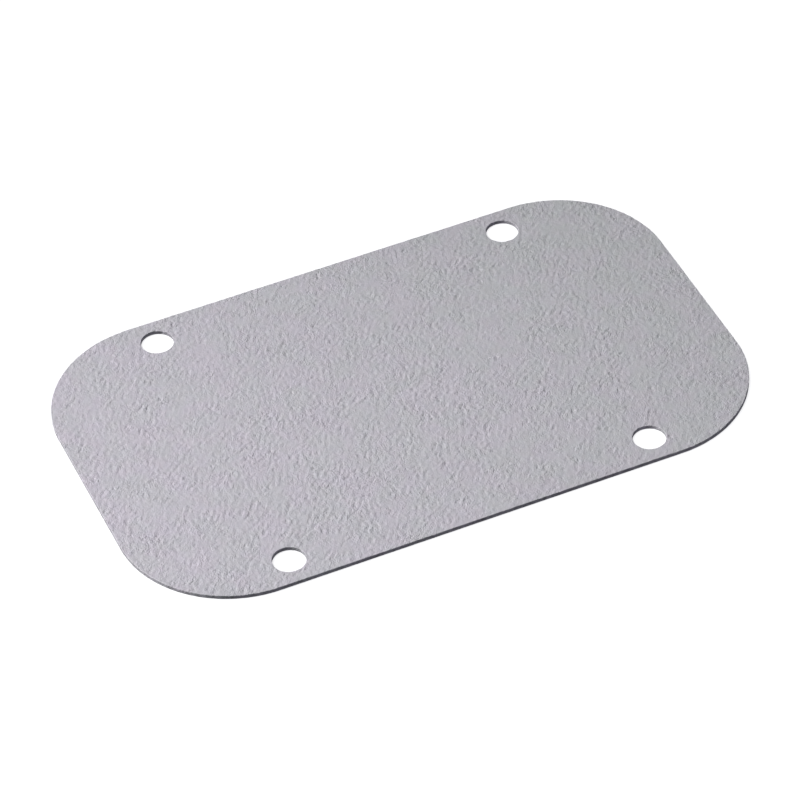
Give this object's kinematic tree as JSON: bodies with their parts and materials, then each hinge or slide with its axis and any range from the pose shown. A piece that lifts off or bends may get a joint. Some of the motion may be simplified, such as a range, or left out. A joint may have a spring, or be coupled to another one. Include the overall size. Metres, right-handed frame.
{
  "type": "rectangular cover plate",
  "caption": "Flat rectangular sheet-metal cover plate with large rounded corners, screw holes along its long edges, and a pale grey textured coat.",
  "frame": {"origin": "centre of the back face, where the plate lies on its back", "axes": "+X along the long side, +Y along the short side, +Z out of the textured front face"},
  "size_m": [0.14, 0.086, 0.001],
  "materials": {
    "textured_coat": "light grey powder coat with a fine wrinkled texture, semi-matt"
  },
  "bodies": {
    "root": {"cover_plate": "textured_coat"}
  },
  "joints": []
}
